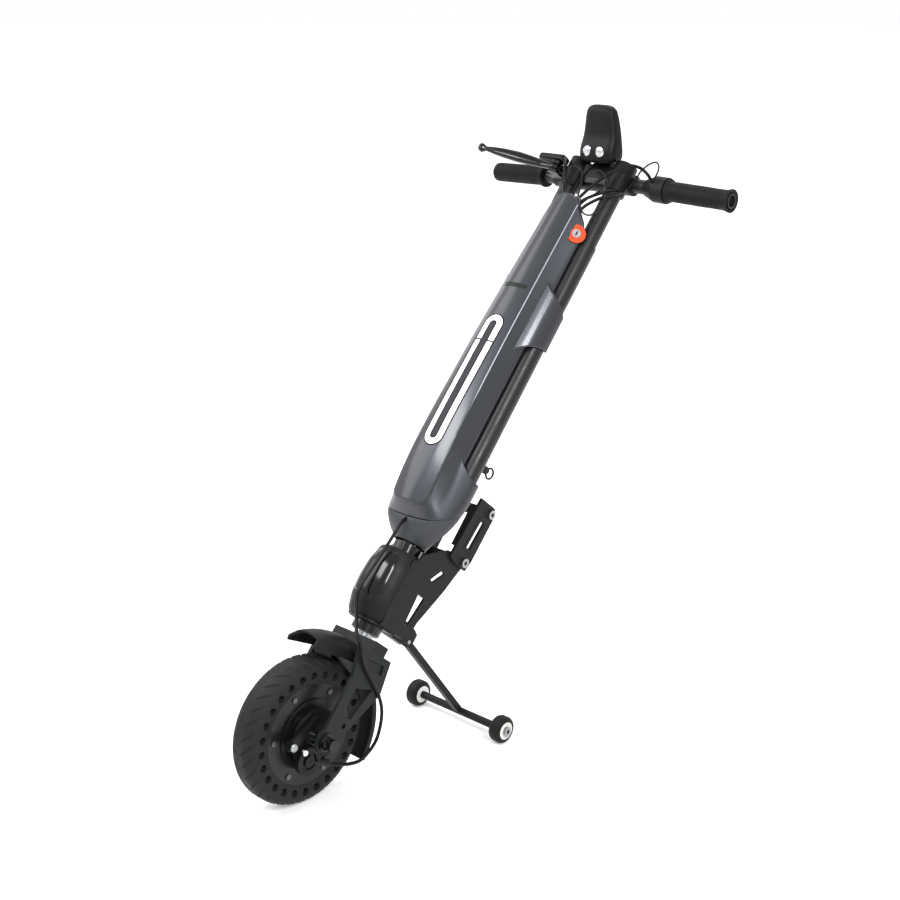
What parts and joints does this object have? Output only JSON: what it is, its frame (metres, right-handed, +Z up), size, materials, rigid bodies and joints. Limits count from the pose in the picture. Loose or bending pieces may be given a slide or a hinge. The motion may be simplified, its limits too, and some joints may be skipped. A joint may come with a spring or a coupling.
{
  "type": "wheelchair power assist",
  "caption": "Clip-on front-drive power assist for a wheelchair: hub-motor wheel in a plate fork, leaning battery column, handlebar, docking bracket and castered stand.",
  "frame": {"origin": "on the floor, under the middle of the whole unit", "axes": "+Z up; the wheel leads along -Y; +X is the brake side of the wheel"},
  "size_m": [0.4638, 0.7801, 0.9324],
  "materials": {
    "black_powder_coat": "satin black powder coat on steel and aluminium plate",
    "black_casting": "gloss black die cast aluminium",
    "bare_steel": "zinc plated steel",
    "bearing_steel": "ground bearing steel",
    "grey_shell": "metallic grey painted ABS",
    "black_plastic": "satin moulded black nylon",
    "tyre_rubber": "matte solid rubber",
    "grip_rubber": "soft moulded rubber",
    "cable_jacket": "smooth extruded jacket",
    "white_plastic": "white moulded plastic and light guide",
    "orange_plastic": "orange moulded plastic",
    "window_glass": "tinted clear plastic",
    "lens_glass": "clear polycarbonate",
    "copper_and_lamination": "varnished copper and steel lamination",
    "magnet": "nickel plated magnets on a steel ring",
    "battery_wrap": "heat shrink sleeve",
    "alloy": "bare extruded aluminium"
  },
  "bodies": {
    "dock": {"head_block": "black_casting", "side_plates": "black_powder_coat", "dock_arms": "black_powder_coat", "dock_bars": "black_powder_coat", "dock_bolts": "bare_steel", "nose_cover": "black_plastic", "headset_cups": "black_casting", "stand_lug": "black_powder_coat"},
    "stand": {"stand_leg": "black_powder_coat", "cross_tube": "black_powder_coat", "caster_bolts": "bare_steel"},
    "left_caster": {"left_caster_tyre": "tyre_rubber", "left_caster_hub": "white_plastic"},
    "right_caster": {"right_caster_tyre": "tyre_rubber", "right_caster_hub": "white_plastic"},
    "steering": {"steerer": "alloy", "headset_bearings": "bearing_steel", "fork_crown": "black_powder_coat", "left_fork_leg": "black_powder_coat", "right_fork_leg": "black_powder_coat", "front_mudguard": "black_plastic", "rear_mudguard": "black_plastic", "wheel_axle": "bearing_steel", "axle_nuts": "black_plastic", "stator": "copper_and_lamination", "brake_plate": "black_casting", "brake_cable": "cable_jacket", "column_yoke": "alloy", "outer_tubes": "black_powder_coat", "front_shell": "grey_shell", "rear_shell": "grey_shell", "base_shell": "grey_shell", "light_strip": "white_plastic", "level_window": "window_glass", "lock_bezel": "orange_plastic", "battery_pack": "battery_wrap", "controller": "alloy", "plunger_body": "black_powder_coat"},
    "wheel": {"tyre": "tyre_rubber", "hub_shell": "black_casting", "hub_cover": "black_casting", "cover_screws": "bare_steel", "magnet_ring": "magnet", "hub_bearings": "bearing_steel"},
    "brake_shoe_arm": {"brake_arm": "black_powder_coat"},
    "handlebar_unit": {"slide_tubes": "black_powder_coat", "bar_head": "black_casting", "handlebar": "black_powder_coat", "left_grip": "grip_rubber", "throttle_housing": "black_plastic", "lever_perch": "black_plastic", "display_pod": "black_plastic", "lamp_lenses": "lens_glass", "upper_cables": "cable_jacket"},
    "lever": {"brake_lever": "black_casting"},
    "twist_grip": {"throttle_grip": "grip_rubber"},
    "key": {"key_barrel": "bare_steel"},
    "plunger": {"plunger_pin": "bare_steel"},
    "power": {"power_button": "black_plastic"},
    "mode": {"mode_button": "black_plastic"}
  },
  "joints": [
    {"name": "steering_turn", "type": "hinge", "parent": "dock", "child": "steering", "pos_m": [0, -0.14898, 0.22235], "axis": [0, 0.6401, 0.7683], "range_deg": [-40, 40]},
    {"name": "wheel_spin", "type": "hinge", "parent": "steering", "child": "wheel", "pos_m": [0, -0.282, 0.108], "axis": [1, 0, 0], "continuous": true},
    {"name": "brake_lever_squeeze", "type": "hinge", "parent": "handlebar_unit", "child": "lever", "pos_m": [-0.076, 0.33329, 0.83181], "axis": [0, -0.506, -0.8625], "range_deg": [0, 20], "stiffness_Nm_per_rad": 1.5},
    {"name": "brake_arm_swing", "type": "hinge", "parent": "steering", "child": "brake_shoe_arm", "pos_m": [0.04, -0.28494, 0.13572], "axis": [1, 0, 0], "range_deg": [0, 12]},
    {"name": "bar_height_slide", "type": "slide", "parent": "steering", "child": "handlebar_unit", "axis": [0, 0.6401, 0.7683], "range_m": [0, 0.06], "deforming": ["upper_cables"]},
    {"name": "throttle_twist", "type": "hinge", "parent": "handlebar_unit", "child": "twist_grip", "pos_m": [0.06549, 0.36536, 0.81298], "axis": [0.9986, 0.0402, -0.0335], "range_deg": [0, 60], "stiffness_Nm_per_rad": 0.4},
    {"name": "key_turn", "type": "hinge", "parent": "steering", "child": "key", "pos_m": [0.03974, 0.24888, 0.74992], "axis": [0.6972, -0.5359, 0.4761], "range_deg": [0, 90]},
    {"name": "power_press", "type": "slide", "parent": "handlebar_unit", "child": "power", "axis": [0, -1, 0], "range_m": [0, 0.0012], "stiffness_N_per_m": 400},
    {"name": "mode_press", "type": "slide", "parent": "handlebar_unit", "child": "mode", "axis": [0, -1, 0], "range_m": [0, 0.0012], "stiffness_N_per_m": 400},
    {"name": "plunger_pull", "type": "slide", "parent": "steering", "child": "plunger", "axis": [0, 0.7683, -0.6401], "range_m": [0, 0.006], "stiffness_N_per_m": 400},
    {"name": "stand_fold", "type": "hinge", "parent": "dock", "child": "stand", "pos_m": [0, -0.07203, 0.17646], "axis": [1, 0, 0], "range_deg": [-40, 0]},
    {"name": "left_caster_spin", "type": "hinge", "parent": "stand", "child": "left_caster", "pos_m": [-0.0895, 0.04512, 0.021], "axis": [1, 0, 0], "continuous": true},
    {"name": "right_caster_spin", "type": "hinge", "parent": "stand", "child": "right_caster", "pos_m": [0.0895, 0.04512, 0.021], "axis": [1, 0, 0], "continuous": true}
  ],
  "couplings": [
    {"joint": "brake_arm_swing", "follows": "brake_lever_squeeze", "ratio": 0.6}
  ]
}
